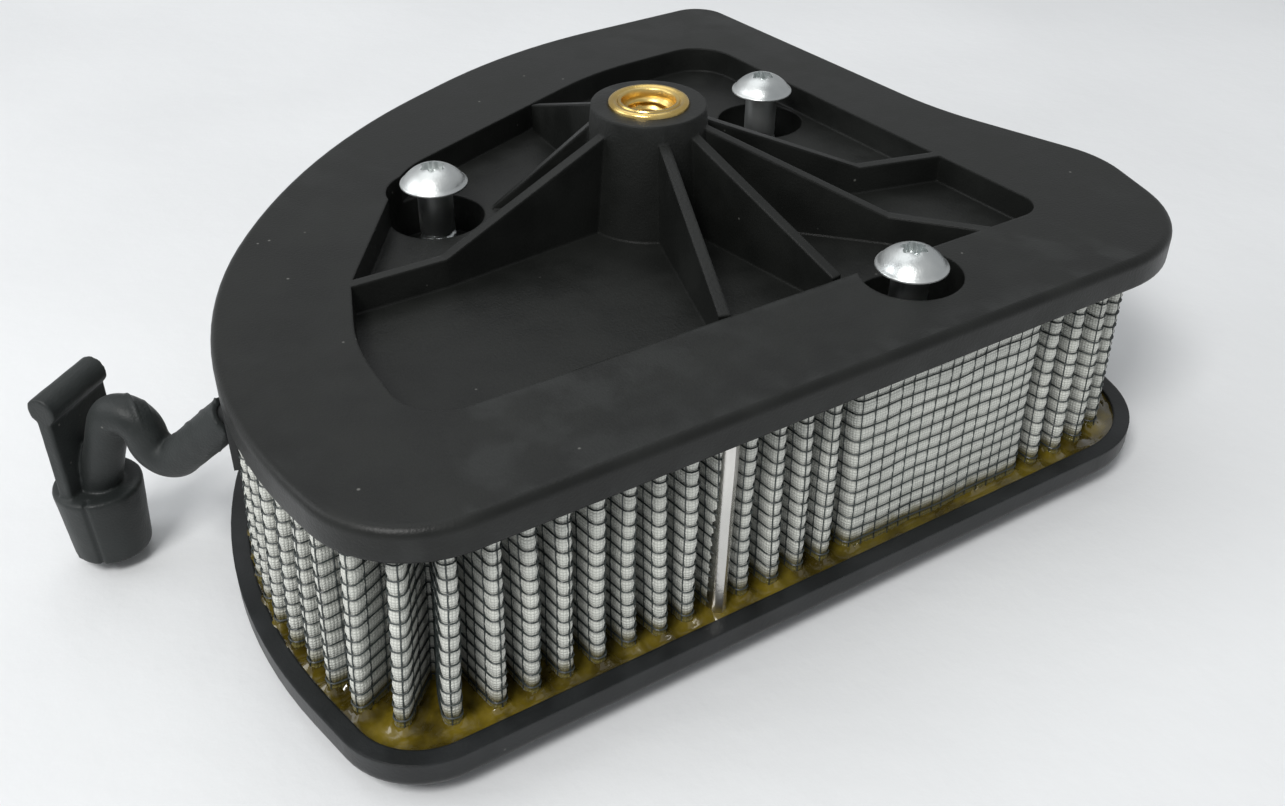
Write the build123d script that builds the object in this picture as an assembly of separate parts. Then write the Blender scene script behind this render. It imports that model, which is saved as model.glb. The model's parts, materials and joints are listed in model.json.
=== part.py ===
from build123d import *
import math
import os

# Motorcycle air filter element, millimetres.
# Origin: where the axis of the cover bolt meets the seating plane. +Z points out of the top plate,
# +X runs along the straight front edge and +Y points to the round back.

# Reach of the top plate from the cover bolt axis
LEFT_REACH = 83.0
RIGHT_REACH = 75.0
FRONT_REACH = 62.5
BACK_REACH = 69.8

# Heights over the seating plane
PLATE_TOP = 43.0
BOSS_HEIGHT = 15.0

# Corners of the plate's outline, each as an offset from the reach that it belongs to, anticlockwise from
# the front left, with the radius that rounds each one. The fourth corner is hollow.
OUTLINE = [
    ((-LEFT_REACH + 3.7, -FRONT_REACH + 0.2), 16.5),
    ((RIGHT_REACH - 7.4, -FRONT_REACH - 0.6), 22.0),
    ((RIGHT_REACH + 1.1, -FRONT_REACH + 29.2), 19.0),
    ((RIGHT_REACH - 9.6, -1.9), 66.0),
    ((RIGHT_REACH - 14.2, BACK_REACH), 7.5),
    ((8.9, BACK_REACH - 1.4), 106.0),
    ((-LEFT_REACH + 38.5, BACK_REACH - 25.3), 127.0),
    ((-LEFT_REACH - 5.0, -8.7), 84.0),
]

# Top plate
SKIRT_HEIGHT = 5.0
SKIRT_WALL = 1.5
RIM_THICKNESS = 2.5
EDGE_ROUND = 1.4
RECESS_DEPTH = 5.0
RECESS_FLOOR = 2.0
TUB_WALL = 1.4
RIB_THICKNESS = 1.8
RIB_TOP_BELOW_BOSS = 2.6

# Recess corners and their radii, anticlockwise from the front left
RECESS = [
    ((-LEFT_REACH + 19.5, -FRONT_REACH + 21.0), 8.0),
    ((RIGHT_REACH - 22.9, -FRONT_REACH + 20.0), 5.0),
    ((RIGHT_REACH - 28.2, BACK_REACH - 20.3), 8.0),
    ((18.0, BACK_REACH - 22.0), 60.0),
    ((-LEFT_REACH + 50.0, BACK_REACH - 41.8), 20.0),
    ((-LEFT_REACH + 27.0, -3.5), 2.0),
    ((-LEFT_REACH + 20.5, -20.0), 40.0),
]

# Where the rim-level walls end and the ribs to the boss begin
KNEES = {
    "left": (-LEFT_REACH + 42.4, -3.8),
    "front": (27.7, -FRONT_REACH + 32.3),
    "right": (35.6, -13.3),
}

# Ribs up to the boss: the foot of each one and the direction of its place on the boss
RIB_FEET = [
    (KNEES["left"], 185.6),
    ((-13.7, -FRONT_REACH + 21.2), 251.2),
    ((7.5, -FRONT_REACH + 21.2), 289.0),
    (KNEES["front"], 312.5),
    (KNEES["right"], 335.0),
    ((0.8, BACK_REACH - 29.5), 100.0),
]
SHORT_RIB_HEADING = 144.0
SHORT_RIB_REACH = 27.0

# Rim-level walls: the foot of each one on the edge of the recess
WALL_FEET = {
    "left": (-LEFT_REACH + 25.0, -3.5),
    "front": (38.5, -FRONT_REACH + 19.5),
    "right": (RIGHT_REACH - 23.0, -17.5),
}

# Cover bolt boss and its brass insert (5/16-18 thread)
BOSS_TOP_RADIUS = 9.6
BOSS_BASE_RADIUS = 11.6
INSERT_RADIUS = 6.75
INSERT_LENGTH = 13.0
INSERT_PROUD = 0.7
INSERT_THREAD_RADIUS = 3.45
INSERT_MOUTH_RADIUS = 4.5
INSERT_MOUTH_DEPTH = 1.4
INSERT_CHAMFER = 0.35
BOLT_RELIEF_RADIUS = 4.6

# Captive screws, 1/4-20 button head, and the pockets that they stand in
SCREW_PLACES = {"left": (-31.5, 18.0), "front": (17.8, -46.6), "back": (39.7, 20.3)}
POCKET_RADIUS = 8.2
POCKET_DEPTH = 12.0
TOWER_WALL = 1.3
SCREW_RADIUS = 3.1
SCREW_ROOT_RADIUS = SCREW_RADIUS - 0.5
SCREW_NECK_RADIUS = SCREW_RADIUS - 0.1
SCREW_NECK_LENGTH = 8.5
SCREW_LENGTH = PLATE_TOP + 1.4
SLEEVE_BORE_RADIUS = SCREW_RADIUS + 0.4
SLEEVE_RADIUS = SLEEVE_BORE_RADIUS + 1.7
SLEEVE_LENGTH = 11.0
RETAINER_BORE_RADIUS = SCREW_RADIUS + 0.15
RETAINER_RADIUS = RETAINER_BORE_RADIUS + 2.15
RETAINER_THICKNESS = 1.4
RETAINER_ABOVE_TIP = 16.5
RETAINER_CHAMBER_RADIUS = RETAINER_RADIUS + 0.8
TOWER_RADIUS = RETAINER_CHAMBER_RADIUS + 1.8
THREAD_PITCH = 1.27
HEAD_RADIUS = 5.75
HEAD_HEIGHT = 3.5
TORX_RADIUS = 2.2
TORX_DEPTH = 1.9
TORX_CORE_SHARE = 0.76
TORX_LOBE_OUT_SHARE = 0.74
TORX_LOBE_SHARE = 0.27
THREAD_CREST = (0.4, 0.6)
TIP_CHAMFER = 0.7

# Pleated ring: how far the pleat tips stand inside each side of the plate, and the radii of the tips' line
TIP_INSETS = [2.1, 6.8, 5.0, 3.3, 3.3, 3.3, 3.0, 2.3]
TIP_RADII = [17.0, 21.0, 26.0, 60.0, 19.0, 100.0, 122.0, 70.0]
PLEAT_DEPTH = 8.4
PLEAT_PITCH = 5.0
TIP_FLAT_SHARE = 0.125
VALLEY_FLAT_SHARE = 0.2
MEDIA_THICKNESS = 0.6
SCREEN_THICKNESS = 0.25
SPLICE_X = -27.0
PLAIN_PATCH = (-3.5, 31.0)
CLIP_THICKNESS = 0.4
CLIP_RETURN = 1.6
CLIP_CLEARANCE = 0.15

# Bottom pan, potting and seal
PAN_GROWTH = [3.0, -3.2, -1.8, 1.0, 2.5, 2.5, 2.5, 3.0]
PAN_RADII = [13.0, 19.0, 20.0, 66.0, 15.0, 108.0, 129.0, 86.0]
PAN_TOP = 7.3
PAN_WALL = 2.7
PAN_FLOOR = 1.5
PAN_ROUND = 1.8
PAN_INNER_WALL = 1.6
PAN_INNER_TOP = 9.0
PAN_INNER_GAP = 1.0
LOWER_POTTING_TOP = 6.4
UPPER_POTTING_DEPTH = 1.5
SEAL_THICKNESS = 2.5
SEAL_WIDTH = 7.5
SEAL_INSET = 3.5
TOWER_PAD_WALL = 1.6
TOWER_CLEARANCE = 0.25

# Breather port and its moulded rubber boot on the left side
PORT_Y = -12.0
PORT_HEIGHT = 32.0
BOOT_HEADING = 129.5
BOOT_ROOT_OUT = 1.7
PORT_WIDTH = 9.0
PORT_TALL = 7.6
PORT_FLANGE = 1.2
PORT_FLANGE_THICKNESS = 1.4
PORT_BORE_RADIUS = 1.5
PORT_WALL = 1.8
PORT_INTO_CLEAN = 2.0
PORT_TAIL = 6.0
SPIGOT_RADIUS = 2.0
SPIGOT_LENGTH = 8.0
TUBE_RADIUS = 3.1
TUBE_BORE_RADIUS = 1.6
BEND_RADIUS = 3.3
TUBE_START = (-1.5, 33.4)
VALLEY_CENTRE = (10.8, 26.2)
CREST_CENTRE = (17.4, 25.9)
CUP_REACH = 25.6
CUP_RADIUS = 6.8
CUP_FOOT_RADIUS = 5.9
CUP_BORE_RADIUS = 4.3
CUP_TOP = 14.8
CUP_ROOF = 3.0
CUP_BOTTOM = 2.3
CUP_ROUND = 0.6
TUBE_IN_CUP = 2.0
TAB_HEADING = 37.7
TAB_BEHIND_CUP = 1.4
TAB_WIDTH = 12.6
TAB_SHIFT = 0.7
TAB_THICKNESS = 2.2
TAB_TOP = 33.3
TAB_BEAD_RADIUS = 2.3

# Sizes that follow from those
FLOOR_TOP = PLATE_TOP - RECESS_DEPTH
FLOOR_BOTTOM = FLOOR_TOP - RECESS_FLOOR
RIM_UNDERSIDE = PLATE_TOP - RIM_THICKNESS
SKIRT_BOTTOM = PLATE_TOP - SKIRT_HEIGHT
BOSS_TOP = PLATE_TOP + BOSS_HEIGHT
POCKET_FLOOR = PLATE_TOP - POCKET_DEPTH
SLEEVE_BOTTOM = POCKET_FLOOR - SLEEVE_LENGTH
MEDIA_TOP = RIM_UNDERSIDE - UPPER_POTTING_DEPTH
PACK_THICKNESS = MEDIA_THICKNESS + 2 * SCREEN_THICKNESS
PAN_BOTTOM = SEAL_THICKNESS
HIGH_RIB = BOSS_TOP - RIB_TOP_BELOW_BOSS

# Overlap that makes a union or a cut certain, the reach of cutting blocks, and limits of the outlines
EMBED = 1.0
CUT_REACH = 40.0
IN_LINE = 0.02
ARC_SHARE = 0.98
LINE_STEPS = 4000
FRONT_BAND = 15.0
TIP_BAND = 7.0


def unit(x, y):
    """The direction of (x, y) with length one."""
    length = math.hypot(x, y)
    return x / length, y / length


def moved_sides(corners, distances):
    """Corners of a closed polygon whose sides move outwards, each by its own distance."""
    count = len(corners)
    lines = []
    for i in range(count):
        (ax, ay), (bx, by) = corners[i], corners[(i + 1) % count]
        ux, uy = unit(bx - ax, by - ay)
        lines.append((ax + uy * distances[i], ay - ux * distances[i], ux, uy))
    result = []
    for i in range(count):
        px, py, ux, uy = lines[i - 1]
        qx, qy, vx, vy = lines[i]
        cross = ux * vy - uy * vx
        if abs(cross) < IN_LINE:
            result.append((qx, qy))
            continue
        along = ((qx - px) * vy - (qy - py) * vx) / cross
        result.append((px + ux * along, py + uy * along))
    return result


def rounded_wire(corners, radii):
    """A closed wire of straight sides joined by tangent arcs, starting inside the first side."""
    count = len(corners)
    joins = []
    for i in range(count):
        (ax, ay), (bx, by), (cx, cy) = corners[i - 1], corners[i], corners[(i + 1) % count]
        ux, uy = unit(ax - bx, ay - by)
        wx, wy = unit(cx - bx, cy - by)
        half = math.acos(max(-1.0, min(1.0, ux * wx + uy * wy))) / 2
        back = radii[i] / math.tan(half)
        mx, my = unit(ux + wx, uy + wy)
        rise = radii[i] / math.sin(half) - radii[i]
        start = (bx + ux * back, by + uy * back)
        end = (bx + wx * back, by + wy * back)
        joins.append((start, (bx + mx * rise, by + my * rise), end))
    edges = []
    for i in range(count):
        start, middle, end = joins[i]
        edges.append(ThreePointArc(start, middle, end))
        edges.append(Line(end, joins[(i + 1) % count][0]))
    return Wire(edges)


def fitted(corners, radii):
    """A list of (corner, radius), a radius being smaller where two arcs would meet on their side."""
    count = len(corners)
    slopes = []
    for i in range(count):
        (ax, ay), (bx, by), (cx, cy) = corners[i - 1], corners[i], corners[(i + 1) % count]
        ux, uy = unit(ax - bx, ay - by)
        wx, wy = unit(cx - bx, cy - by)
        slopes.append(math.tan(math.acos(max(-1.0, min(1.0, ux * wx + uy * wy))) / 2))
    limits = [1.0] * count
    for i in range(count):
        j = (i + 1) % count
        used = radii[i] / slopes[i] + radii[j] / slopes[j]
        room = ARC_SHARE * math.dist(corners[i], corners[j]) / used
        limits[i] = min(limits[i], room)
        limits[j] = min(limits[j], room)
    return [(corner, radius * limit) for corner, radius, limit in zip(corners, radii, limits)]


def turns_left(corners, i):
    """True where the polygon's corner i stands out, False where it is hollow."""
    (ax, ay), (bx, by), (cx, cy) = corners[i - 1], corners[i], corners[(i + 1) % len(corners)]
    return (bx - ax) * (cy - by) - (by - ay) * (cx - bx) > 0


def grown(shape, distance):
    """A list of (corner, radius) grown outwards by one distance, its arcs staying concentric."""
    corners = [corner for corner, _ in shape]
    radii = [r + distance if turns_left(corners, i) else r - distance for i, (_, r) in enumerate(shape)]
    return list(zip(moved_sides(corners, [distance] * len(corners)), radii))


def wire_of(shape):
    """The closed wire round a list of (corner, radius)."""
    return rounded_wire([corner for corner, _ in shape], [radius for _, radius in shape])


def face_of(shape):
    """The face inside a list of (corner, radius)."""
    return make_face(wire_of(shape))


def slab(shape, bottom, top):
    """A list of (corner, radius) extruded from one height to another."""
    return extrude(Pos(0, 0, bottom) * face_of(shape), top - bottom)


def post(radius, bottom, top, place=(0, 0)):
    """An upright cylinder between two heights."""
    return Pos(place[0], place[1], (bottom + top) / 2) * Cylinder(radius, top - bottom)


def plate_shape():
    """The outside of the top plate."""
    return fitted([corner for corner, _ in OUTLINE], [radius for _, radius in OUTLINE])


def recess_shape():
    """The edge of the recess in the top plate."""
    return fitted([corner for corner, _ in RECESS], [radius for _, radius in RECESS])


def tip_shape():
    """The line on which the outer faces of the pleat tips stand."""
    corners = moved_sides([corner for corner, _ in OUTLINE], [-inset for inset in TIP_INSETS])
    return fitted(corners, TIP_RADII)


def pan_shape():
    """The outside of the bottom pan."""
    corners = moved_sides([corner for corner, _ in OUTLINE], PAN_GROWTH)
    return fitted(corners, PAN_RADII)


def rib(outer, inner, outer_top, inner_top, bottom=FLOOR_TOP - EMBED, thickness=RIB_THICKNESS):
    """An upright web between two places, its top edge straight from one height to the other."""
    length = math.dist(outer, inner)
    side = Polyline((0, bottom), (length, bottom), (length, inner_top), (0, outer_top), close=True)
    heading = (inner[0] - outer[0], inner[1] - outer[1], 0)
    plane = Plane(origin=(outer[0], outer[1], 0), x_dir=heading, z_dir=(heading[1], -heading[0], 0))
    return extrude(plane * make_face(side), thickness / 2, both=True)


def boss_side(degrees, radius):
    """A place at a distance from the cover bolt axis."""
    angle = math.radians(degrees)
    return radius * math.cos(angle), radius * math.sin(angle)


def rib_walls():
    """The ribs that run from the rim of the recess up to the boss, and the rim-level walls that they join."""
    landing = BOSS_TOP_RADIUS - EMBED
    walls = []
    for foot, degrees in RIB_FEET:
        walls.append(rib(foot, boss_side(degrees, landing), PLATE_TOP, HIGH_RIB))
    short_foot = boss_side(SHORT_RIB_HEADING, SHORT_RIB_REACH)
    walls.append(rib(short_foot, boss_side(SHORT_RIB_HEADING, landing), FLOOR_TOP, HIGH_RIB))
    for name, foot in WALL_FEET.items():
        walls.append(rib(foot, KNEES[name], PLATE_TOP, PLATE_TOP))
        walls.append(post(RIB_THICKNESS / 2, FLOOR_TOP - EMBED, PLATE_TOP, KNEES[name]))
    return walls


def build_top_plate():
    """Cap with a rim, a skirt, a ribbed recess, the cover bolt boss and three screw towers."""
    outer = slab(plate_shape(), SKIRT_BOTTOM, PLATE_TOP)
    outer = fillet(outer.faces().sort_by(Axis.Z)[-1].edges(), EDGE_ROUND)
    cap = outer - slab(grown(plate_shape(), -SKIRT_WALL), SKIRT_BOTTOM - EMBED, RIM_UNDERSIDE)
    cap += slab(grown(recess_shape(), TUB_WALL), FLOOR_BOTTOM, RIM_UNDERSIDE + EMBED)
    for place in SCREW_PLACES.values():
        cap += post(POCKET_RADIUS + TOWER_WALL, POCKET_FLOOR - RECESS_FLOOR, RIM_UNDERSIDE + EMBED, place)
        cap += post(TOWER_RADIUS, 0, POCKET_FLOOR, place)
    cap -= slab(recess_shape(), FLOOR_TOP, PLATE_TOP + EMBED)
    boss_height = BOSS_TOP - FLOOR_BOTTOM
    cap += Pos(0, 0, FLOOR_BOTTOM + boss_height / 2) * Cone(BOSS_BASE_RADIUS, BOSS_TOP_RADIUS, boss_height)
    for wall in rib_walls():
        cap += wall
    for place in SCREW_PLACES.values():
        cap -= post(POCKET_RADIUS, POCKET_FLOOR, BOSS_TOP, place)
        cap -= post(SLEEVE_RADIUS, SLEEVE_BOTTOM, POCKET_FLOOR + EMBED, place)
        cap -= post(RETAINER_CHAMBER_RADIUS, -EMBED, SLEEVE_BOTTOM, place)
    insert_bottom = BOSS_TOP + INSERT_PROUD - INSERT_LENGTH
    cap -= post(INSERT_RADIUS, insert_bottom, BOSS_TOP + EMBED)
    cap -= post(BOLT_RELIEF_RADIUS, FLOOR_BOTTOM - EMBED, insert_bottom + EMBED)
    return cap


def build_cover_insert():
    """Threaded brass bush moulded into the boss."""
    top = BOSS_TOP + INSERT_PROUD
    bush = post(INSERT_RADIUS, top - INSERT_LENGTH, top)
    bush = chamfer(bush.edges().sort_by(Axis.Z)[-1], INSERT_CHAMFER)
    bush -= post(INSERT_THREAD_RADIUS, top - INSERT_LENGTH - EMBED, top + EMBED)
    bush -= post(INSERT_MOUTH_RADIUS, top - INSERT_MOUTH_DEPTH, top + EMBED)
    return bush


def build_sleeve(place):
    """Steel limiter that takes the screw's clamping load."""
    tube = post(SLEEVE_RADIUS, SLEEVE_BOTTOM, POCKET_FLOOR, place)
    return tube - post(SLEEVE_BORE_RADIUS, SLEEVE_BOTTOM - EMBED, POCKET_FLOOR + EMBED, place)


def build_retainer(place):
    """Washer on the thread that stops the screw from leaving its tower."""
    bottom = RETAINER_ABOVE_TIP
    ring = post(RETAINER_RADIUS, bottom, bottom + RETAINER_THICKNESS, place)
    return ring - post(RETAINER_BORE_RADIUS, bottom - EMBED, bottom + RETAINER_THICKNESS + EMBED, place)


def build_screw(place):
    """Button-head screw: domed head with a six-lobed socket, plain neck and ringed thread."""
    neck_bottom = SCREW_LENGTH - SCREW_NECK_LENGTH
    profile = [(0, 0), (SCREW_ROOT_RADIUS - TIP_CHAMFER, 0), (SCREW_ROOT_RADIUS, TIP_CHAMFER)]
    turns = int((neck_bottom - 2 * TIP_CHAMFER) / THREAD_PITCH)
    for turn in range(turns):
        base = TIP_CHAMFER + turn * THREAD_PITCH
        profile.append((SCREW_RADIUS, base + THREAD_CREST[0] * THREAD_PITCH))
        profile.append((SCREW_RADIUS, base + THREAD_CREST[1] * THREAD_PITCH))
        profile.append((SCREW_ROOT_RADIUS, base + THREAD_PITCH))
    profile.append((SCREW_NECK_RADIUS, neck_bottom))
    profile.append((SCREW_NECK_RADIUS, SCREW_LENGTH))
    profile.append((0, SCREW_LENGTH))
    body = revolve(Plane.XZ * make_face(Polyline(*profile, close=True)), Axis.Z)
    dome_radius = (HEAD_RADIUS ** 2 + HEAD_HEIGHT ** 2) / (2 * HEAD_HEIGHT)
    ball = Pos(0, 0, SCREW_LENGTH + HEAD_HEIGHT - dome_radius) * Sphere(dome_radius)
    body += ball & post(HEAD_RADIUS, SCREW_LENGTH, SCREW_LENGTH + HEAD_HEIGHT)
    socket_bottom = SCREW_LENGTH + HEAD_HEIGHT - TORX_DEPTH
    body -= post(TORX_CORE_SHARE * TORX_RADIUS, socket_bottom, SCREW_LENGTH + HEAD_HEIGHT + EMBED)
    for lobe in PolarLocations(TORX_LOBE_OUT_SHARE * TORX_RADIUS, 6):
        groove = lobe * Cylinder(TORX_LOBE_SHARE * TORX_RADIUS, HEAD_HEIGHT)
        body -= Pos(0, 0, socket_bottom + HEAD_HEIGHT / 2) * groove
    return Pos(place[0], place[1], 0) * body


def pack_line():
    """The middle line of the pleated pack, half a pleat's depth inside the tips."""
    return wire_of(grown(tip_shape(), -(PACK_THICKNESS + PLEAT_DEPTH) / 2))


def splice_start(line):
    """Where along the closed line, from 0 to 1, the pleated pack's two ends meet."""
    shares = [i / LINE_STEPS for i in range(LINE_STEPS)]
    front = [share for share in shares if line.position_at(share).Y < -FRONT_REACH + FRONT_BAND]
    return min(front, key=lambda share: abs(line.position_at(share).X - SPLICE_X))


def pleat_corners():
    """The folds of the pack as a closed polygon that runs through the middle of its thickness."""
    line = pack_line()
    start = splice_start(line)
    count = round(line.length / PLEAT_PITCH)
    folds = []
    for pleat in range(count):
        valley = line.position_at((start + (pleat + 0.5) / count) % 1.0)
        plain = PLAIN_PATCH[0] < valley.X < PLAIN_PATCH[1] and valley.Y < -FRONT_REACH + FRONT_BAND
        for phase, flat, side in ((0.0, TIP_FLAT_SHARE, 1), (0.5, VALLEY_FLAT_SHARE, 1 if plain else -1)):
            for end in (-flat, flat):
                share = (start + (pleat + phase + end) / count) % 1.0
                spot = line.position_at(share)
                along = line.tangent_at(share)
                reach = side * PLEAT_DEPTH / 2
                folds.append((spot.X + along.Y * reach, spot.Y - along.X * reach))
    return folds


def pack_layer(folds, inner_offset, outer_offset):
    """One layer of the pleated pack, between two offsets from the middle of its thickness."""
    outer = moved_sides(folds, [outer_offset] * len(folds))
    inner = moved_sides(folds, [inner_offset] * len(folds))
    ring = make_face(Polyline(*outer, close=True)) - make_face(Polyline(*inner, close=True))
    return extrude(Pos(0, 0, LOWER_POTTING_TOP) * ring, MEDIA_TOP - LOWER_POTTING_TOP) - port_block()


def port_spot():
    """The port's place on the line of the pleat tips, and the outward direction there."""
    line = wire_of(tip_shape())
    shares = [i / LINE_STEPS for i in range(LINE_STEPS)]
    left = [share for share in shares if line.position_at(share).X < -LEFT_REACH / 2]
    share = min(left, key=lambda value: abs(line.position_at(value).Y - PORT_Y))
    spot = line.position_at(share)
    along = line.tangent_at(share)
    return (spot.X, spot.Y), (along.Y, -along.X)


def port_plane():
    """A plane across the port's duct, facing outwards, on the line of the pleat tips."""
    nx, ny = PORT_NORMAL
    return Plane(origin=(PORT_SPOT[0], PORT_SPOT[1], PORT_HEIGHT), x_dir=(-ny, nx, 0), z_dir=(nx, ny, 0))


def port_block():
    """The duct's outside, from the pleat tips to the clean side of the pack."""
    depth = PLEAT_DEPTH + PACK_THICKNESS + PORT_INTO_CLEAN
    return extrude(port_plane() * Rectangle(PORT_WIDTH, PORT_TALL), -depth)


def boot_plane():
    """Upright plane of the boot: its x is the distance from the port and its y the height."""
    hx, hy = boss_side(BOOT_HEADING, 1.0)
    return Plane(origin=(BOOT_ROOT[0], BOOT_ROOT[1], 0), x_dir=(hx, hy, 0), z_dir=(hy, -hx, 0))


def touching_point(point, centre, radius, side):
    """Where the straight line from a point touches a circle, on its left (1) or right (-1) side."""
    dx, dy = centre[0] - point[0], centre[1] - point[1]
    reach = math.hypot(dx, dy)
    turn = side * math.asin(radius / reach)
    length = math.sqrt(reach ** 2 - radius ** 2)
    angle = math.atan2(dy, dx) + turn
    return point[0] + length * math.cos(angle), point[1] + length * math.sin(angle)


def arc_between(start, end, centre, radius, sweep_sign):
    """The arc about a centre from one point to another, anticlockwise (1) or clockwise (-1)."""
    first = math.atan2(start[1] - centre[1], start[0] - centre[0])
    last = math.atan2(end[1] - centre[1], end[0] - centre[0])
    sweep_angle = (sweep_sign * (last - first)) % (2 * math.pi)
    middle = first + sweep_sign * sweep_angle / 2
    top = (centre[0] + radius * math.cos(middle), centre[1] + radius * math.sin(middle))
    return ThreePointArc(start, top, end)


def boot_path():
    """Middle line of the moulded tube: down from the port, round the valley, over the crest, into the cup."""
    end = (CUP_REACH, CUP_TOP - TUBE_IN_CUP)
    gap = math.dist(VALLEY_CENTRE, CREST_CENTRE)
    radius = min(BEND_RADIUS, gap / 2)
    across = unit(CREST_CENTRE[0] - VALLEY_CENTRE[0], CREST_CENTRE[1] - VALLEY_CENTRE[1])
    valley_in = touching_point(TUBE_START, VALLEY_CENTRE, radius, -1)
    crest_out = touching_point(end, CREST_CENTRE, radius, -1)
    meeting = (VALLEY_CENTRE[0] + across[0] * gap / 2, VALLEY_CENTRE[1] + across[1] * gap / 2)
    pieces = [
        Line(TUBE_START, valley_in),
        arc_between(valley_in, meeting, VALLEY_CENTRE, radius, 1),
        arc_between(meeting, crest_out, CREST_CENTRE, radius, -1),
        Line(crest_out, end),
    ]
    return boot_plane() * Wire(pieces)


def spigot(radius, length):
    """A round bar on the tube's axis, from inside the port's flange to a length past the tube's end."""
    path = boot_path()
    root = Plane(origin=path.position_at(0), z_dir=path.tangent_at(0))
    return root * Pos(0, 0, (length - PORT_TAIL) / 2) * Cylinder(radius, length + PORT_TAIL)


def behind_tips():
    """A block of space behind the line of the pleat tips at the port."""
    return extrude(port_plane() * Rectangle(CUT_REACH, CUT_REACH), -CUT_REACH)


def build_breather_port():
    """Moulded duct through the pleats, with a flange outside them and a spigot for the tube."""
    flange = Rectangle(PORT_WIDTH + 2 * PORT_FLANGE, PORT_TALL + 2 * PORT_FLANGE)
    port = port_block() + extrude(port_plane() * flange, PORT_FLANGE_THICKNESS)
    port += spigot(SPIGOT_RADIUS, SPIGOT_LENGTH) - behind_tips()
    duct = extrude(port_plane() * Rectangle(PORT_WIDTH - 2 * PORT_WALL, PORT_TALL - 2 * PORT_WALL), -CUT_REACH)
    return port - duct - spigot(PORT_BORE_RADIUS, SPIGOT_LENGTH + EMBED)


def build_breather_tube():
    """Moulded rubber tube with an S bend, pushed onto the port's spigot."""
    path = boot_path()
    section = Plane(origin=path.position_at(0), z_dir=path.tangent_at(0))
    tube = sweep(section * (Circle(TUBE_RADIUS) - Circle(TUBE_BORE_RADIUS)), path)
    flange_front = port_plane() * Pos(0, 0, PORT_FLANGE_THICKNESS)
    tube -= extrude(flange_front * Rectangle(CUT_REACH, CUT_REACH), -CUT_REACH)
    return tube - spigot(SPIGOT_RADIUS, SPIGOT_LENGTH)


def build_breather_cup():
    """Cup with a downward mouth that takes the tube's end, and a flat pull tab with a bead on top."""
    hx, hy = boss_side(BOOT_HEADING, CUP_REACH)
    place = (BOOT_ROOT[0] + hx, BOOT_ROOT[1] + hy)
    middle = Pos(place[0], place[1], (CUP_BOTTOM + CUP_TOP) / 2)
    cup = middle * Cone(CUP_FOOT_RADIUS, CUP_RADIUS, CUP_TOP - CUP_BOTTOM)
    cup = fillet(cup.edges().sort_by(Axis.Z)[-1], CUP_ROUND)
    tx, ty = boss_side(TAB_HEADING, 1.0)
    centre_x = place[0] - ty * TAB_BEHIND_CUP + tx * TAB_SHIFT
    centre_y = place[1] + tx * TAB_BEHIND_CUP + ty * TAB_SHIFT
    face = Plane(origin=(centre_x, centre_y, 0), x_dir=(tx, ty, 0), z_dir=(0, 0, 1))
    bead_height = TAB_TOP - TAB_BEAD_RADIUS
    cup += extrude(face * Pos(0, 0, CUP_BOTTOM) * Rectangle(TAB_WIDTH, TAB_THICKNESS), bead_height - CUP_BOTTOM)
    cup += face * Pos(0, 0, bead_height) * Rot(0, 90, 0) * Cylinder(TAB_BEAD_RADIUS, TAB_WIDTH)
    cup -= post(CUP_BORE_RADIUS, CUP_BOTTOM - EMBED, CUP_TOP - CUP_ROOF, place)
    path = boot_path()
    section = Plane(origin=path.position_at(0), z_dir=path.tangent_at(0)) * Circle(TUBE_RADIUS)
    drop = Plane(origin=path.position_at(1), z_dir=path.tangent_at(1)) * Pos(0, 0, CUP_ROOF / 2)
    return cup - sweep(section, path) - drop * Cylinder(TUBE_BORE_RADIUS, 2 * CUP_ROOF)


def opening_shape():
    """The intake opening inside the pan."""
    return grown(tip_shape(), -(PACK_THICKNESS + PLEAT_DEPTH + PAN_INNER_GAP + PAN_INNER_WALL))


def tower_pad():
    """Collar that carries the pan's floor round the front screw's tower."""
    radius = TOWER_RADIUS + TOWER_CLEARANCE + TOWER_PAD_WALL
    return post(radius, PAN_BOTTOM, PAN_INNER_TOP, SCREW_PLACES["front"])


def tower_holes(bottom, top):
    """Clearance for the three screw towers between two heights."""
    holes = [post(TOWER_RADIUS + TOWER_CLEARANCE, bottom, top, place) for place in SCREW_PLACES.values()]
    return holes[0] + holes[1] + holes[2]


def build_bottom_pan():
    """Shallow channel round the intake opening, with a collar round the front screw's tower."""
    pan = slab(pan_shape(), PAN_BOTTOM, PAN_TOP)
    pan = fillet(pan.faces().sort_by(Axis.Z)[0].edges(), PAN_ROUND)
    pan += slab(grown(opening_shape(), PAN_INNER_WALL), PAN_BOTTOM, PAN_INNER_TOP)
    channel = slab(grown(pan_shape(), -PAN_WALL), PAN_BOTTOM + PAN_FLOOR, PAN_INNER_TOP + EMBED)
    pan -= channel - slab(grown(opening_shape(), PAN_INNER_WALL), PAN_BOTTOM, PAN_INNER_TOP + 2 * EMBED)
    pan += tower_pad()
    pan -= slab(opening_shape(), 0, PAN_INNER_TOP + EMBED) - tower_pad()
    return pan - tower_holes(0, PAN_INNER_TOP + EMBED)


def build_lower_potting():
    """Cured compound in the pan that holds the pleats' feet."""
    channel = slab(grown(pan_shape(), -PAN_WALL), PAN_BOTTOM + PAN_FLOOR, LOWER_POTTING_TOP)
    channel -= slab(grown(opening_shape(), PAN_INNER_WALL), PAN_BOTTOM, PAN_TOP)
    return channel - tower_pad() - tower_holes(0, PAN_TOP)


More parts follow.
